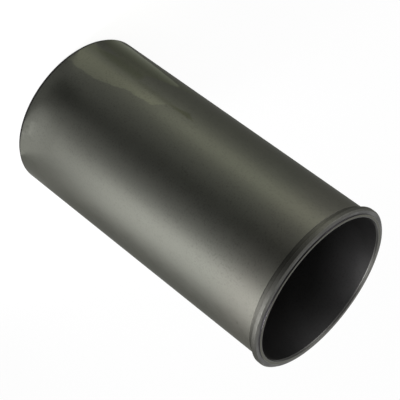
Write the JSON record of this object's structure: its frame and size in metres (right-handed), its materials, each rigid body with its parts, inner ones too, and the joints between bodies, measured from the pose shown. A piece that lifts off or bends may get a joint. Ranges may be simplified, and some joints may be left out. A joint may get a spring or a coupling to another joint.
{
  "type": "cylinder liner",
  "caption": "Dry cylinder liner of 102 mm bore: a flanged, phosphated iron sleeve with a raised lip and a relief groove under the flange.",
  "frame": {"origin": "on the bore's axis, in the plane of the plain end that the liner stands on", "axes": "+Z along the bore's axis, from the plain end up to the flange; X and Y are any two radii, because the liner is round"},
  "size_m": [0.1136, 0.1136, 0.215],
  "materials": {
    "phosphated_iron": "satin dark grey phosphate"
  },
  "bodies": {
    "root": {"cylinder_liner": "phosphated_iron"}
  },
  "joints": []
}
